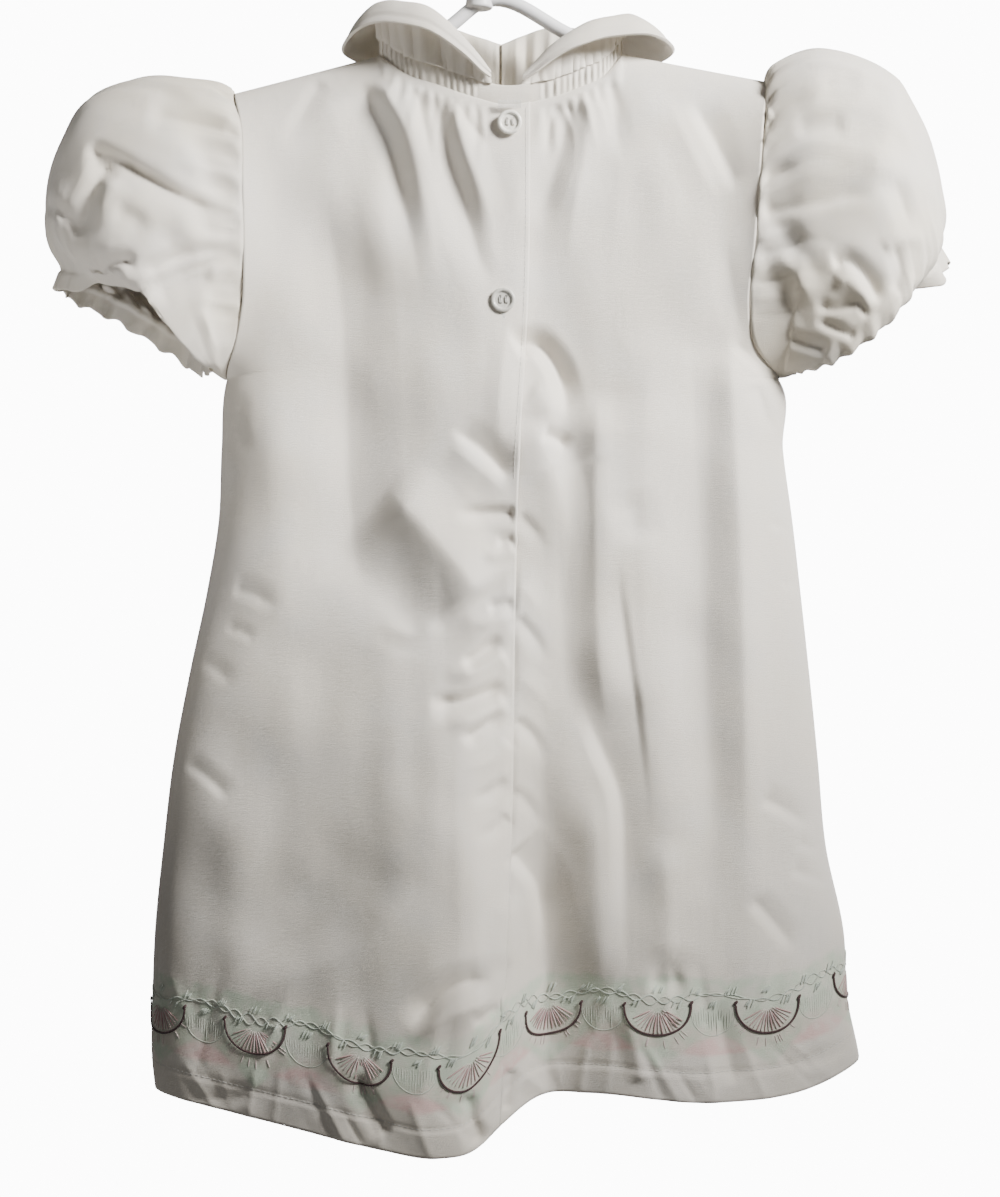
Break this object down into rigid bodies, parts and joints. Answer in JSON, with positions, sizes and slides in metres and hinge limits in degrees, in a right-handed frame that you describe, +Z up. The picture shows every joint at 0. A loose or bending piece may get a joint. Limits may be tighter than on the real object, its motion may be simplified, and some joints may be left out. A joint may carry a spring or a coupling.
{
  "type": "toddler dress on a hanger",
  "caption": "A-line toddler dress with puff sleeves, round rolled collar and back button placket, hung on a thin plastic hanger.",
  "frame": {"origin": "top of the inside of the hanger's hook, where it rests on a rail", "axes": "+Z up, +X towards the wearer's right as the back is seen, -Y out of the dress's back"},
  "size_m": [0.413, 0.1002, 0.5856],
  "materials": {
    "body_cloth": "crisp off-white cotton, soft sheen",
    "sleeve_cloth": "crisp off-white cotton, gathered",
    "collar_cloth": "doubled off-white cotton",
    "button_plastic": "pearly white",
    "hanger_plastic": "white, slightly translucent"
  },
  "bodies": {
    "root": {"back_left": "body_cloth", "back_right": "body_cloth", "front": "body_cloth", "sleeve_left": "sleeve_cloth", "sleeve_right": "sleeve_cloth", "neck_band_left": "collar_cloth", "neck_band_right": "collar_cloth", "neck_band_front": "collar_cloth", "collar_left": "collar_cloth", "collar_right": "collar_cloth", "button_top": "button_plastic", "button_low": "button_plastic", "hanger": "hanger_plastic"}
  },
  "joints": []
}
